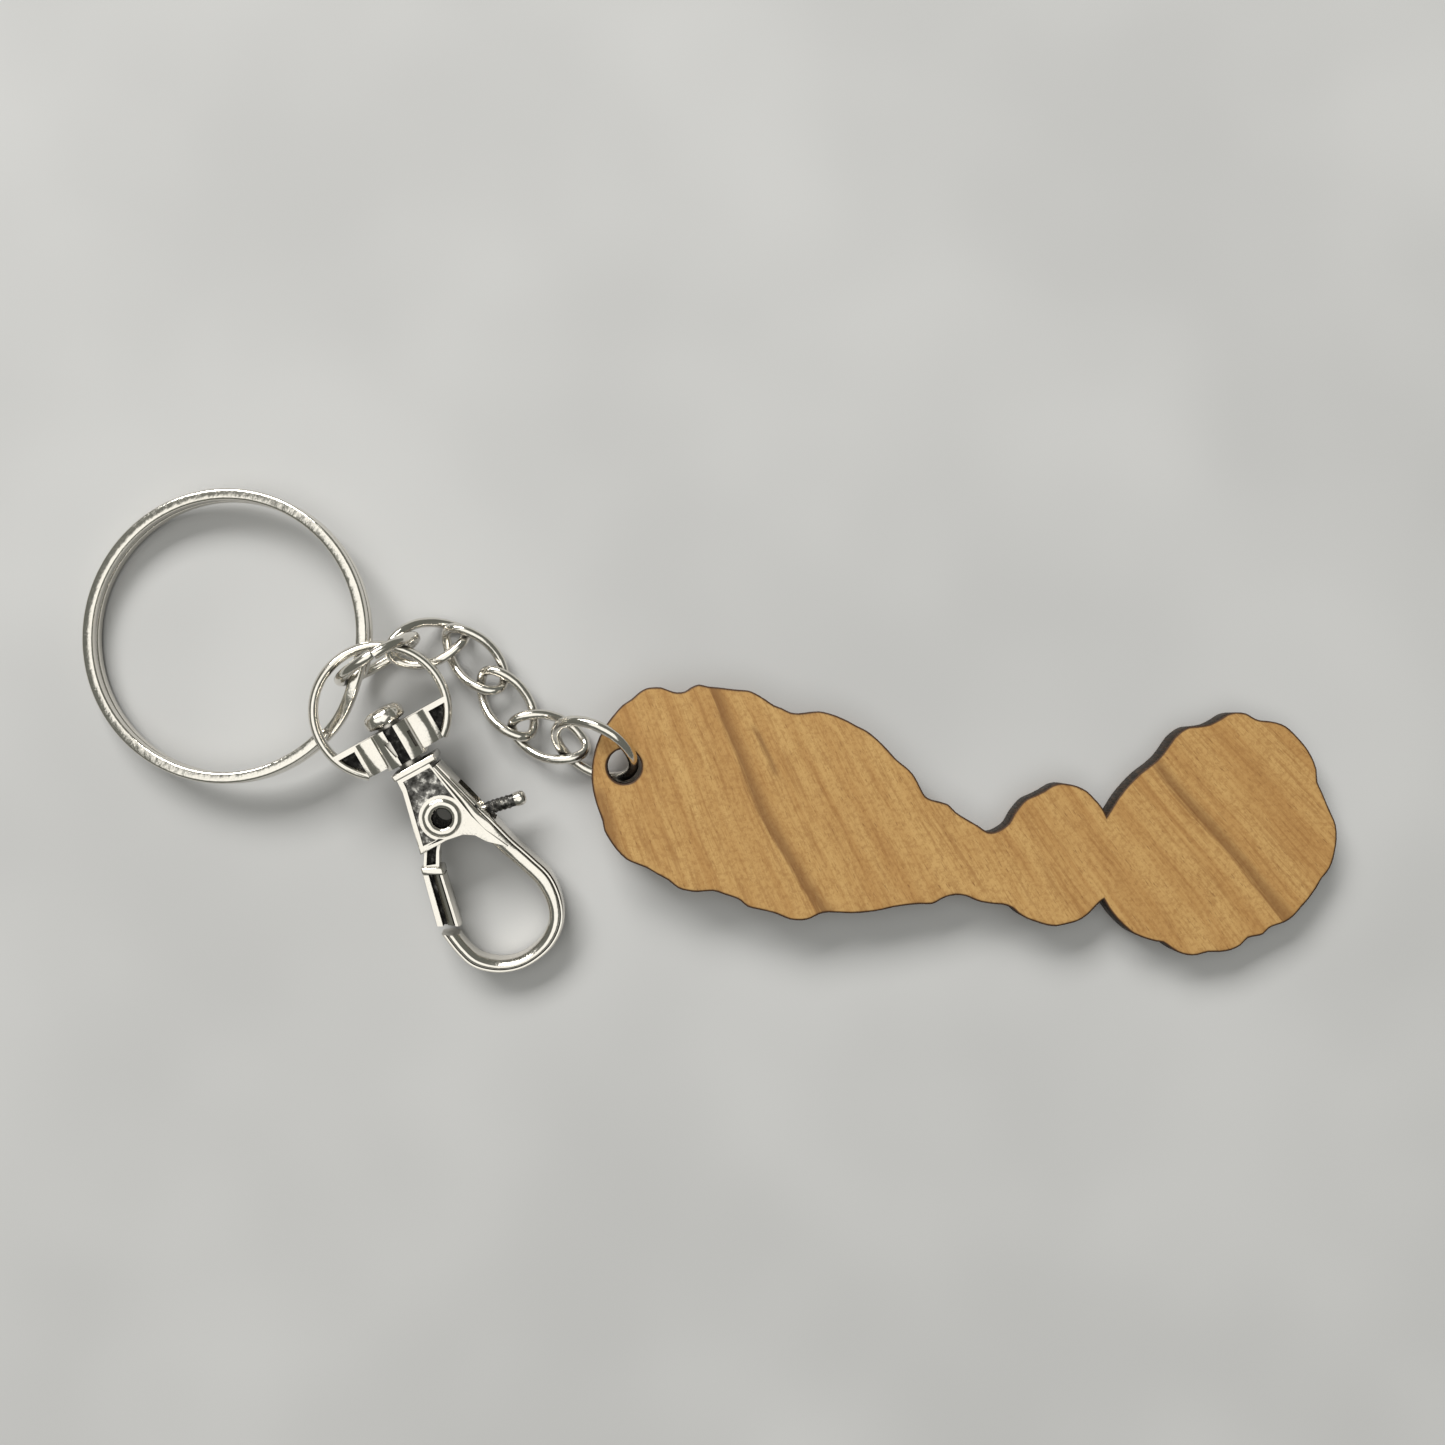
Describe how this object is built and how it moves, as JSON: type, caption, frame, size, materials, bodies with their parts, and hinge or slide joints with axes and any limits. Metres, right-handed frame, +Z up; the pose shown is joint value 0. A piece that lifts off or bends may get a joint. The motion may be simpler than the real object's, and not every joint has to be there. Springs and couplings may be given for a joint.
{
  "type": "keychain",
  "caption": "Keychain with a flat wooden charm on a short curb chain, joined by a jump ring to a split key ring and a swivel trigger clasp.",
  "frame": {"origin": "centre of the rectangle that the keychain covers on the table, at table height", "axes": "+X from the split ring to the far end of the charm, +Z up from the table, +Y to the side away from the hook"},
  "size_m": [0.1284, 0.0496, 0.0097],
  "materials": {
    "wood": "bare sanded wood with laser-browned edges",
    "nickel_wire": "bright nickel plating on drawn wire",
    "nickel_casting": "bright nickel plating on a die casting",
    "spring_steel": "plain spring wire"
  },
  "bodies": {
    "connector": {"connector_ring": "nickel_wire"},
    "split_ring": {"split_ring": "nickel_wire"},
    "swivel_eye": {"swivel_eye": "nickel_casting"},
    "hook": {"hook_body": "nickel_casting", "swivel_rivet": "nickel_casting", "pivot_rivet": "nickel_casting", "gate_spring": "spring_steel"},
    "gate": {"gate": "nickel_casting"},
    "link_1": {"chain_link_1": "nickel_wire"},
    "link_2": {"chain_link_2": "nickel_wire"},
    "link_3": {"chain_link_3": "nickel_wire"},
    "link_4": {"chain_link_4": "nickel_wire"},
    "charm_ring": {"charm_ring": "nickel_wire"},
    "charm": {"charm": "wood"}
  },
  "joints": [
    {"name": "split_ring_spin", "type": "hinge", "parent": "connector", "child": "split_ring", "pos_m": [-0.04915, 0.00973, 0.00273], "axis": [-0.1022, 0.0264, 0.9944], "continuous": true},
    {"name": "clasp_lift", "type": "hinge", "parent": "connector", "child": "swivel_eye", "pos_m": [-0.03069, 0.00825, 0.00613], "axis": [-0.9396, 0.3073, 0.1508], "range_deg": [0, 120]},
    {"name": "clasp_swivel", "type": "hinge", "parent": "swivel_eye", "child": "hook", "pos_m": [-0.03278, 0.00205, 0.00578], "axis": [0.4754, -0.8683, -0.1414], "continuous": true},
    {"name": "gate_hinge", "type": "hinge", "parent": "hook", "child": "gate", "pos_m": [-0.02674, -0.00836, 0.00406], "axis": [0.0679, -0.124, 0.9899], "range_deg": [0, 32], "stiffness_Nm_per_rad": 0.004, "springref_deg": -17.19},
    {"name": "link_1_swing", "type": "hinge", "parent": "connector", "child": "link_1", "pos_m": [-0.0313, 0.0085, 0.0015], "axis": [0, 0, 1], "range_deg": [-10, 20]},
    {"name": "link_2_swing", "type": "hinge", "parent": "link_1", "child": "link_2", "pos_m": [-0.0259, 0.0103, 0.0024], "axis": [0, 0, -1], "range_deg": [-25, 12]},
    {"name": "link_3_swing", "type": "hinge", "parent": "link_2", "child": "link_3", "pos_m": [-0.0222, 0.0053, 0.0017], "axis": [0, 0, 1], "range_deg": [-15, 25]},
    {"name": "link_4_swing", "type": "hinge", "parent": "link_3", "child": "link_4", "pos_m": [-0.0193, 0.0002, 0.0017], "axis": [0, 0, -1], "range_deg": [-12, 25]},
    {"name": "charm_ring_swing", "type": "hinge", "parent": "link_4", "child": "charm_ring", "pos_m": [-0.0147, -0.0011, 0.0016], "axis": [0, 0, 1], "range_deg": [-25, 25]},
    {"name": "charm_turn", "type": "hinge", "parent": "charm_ring", "child": "charm", "pos_m": [-0.00845, -0.00349, 0.00394], "axis": [0.0337, 0, 0.9994], "range_deg": [-35, 35]}
  ]
}
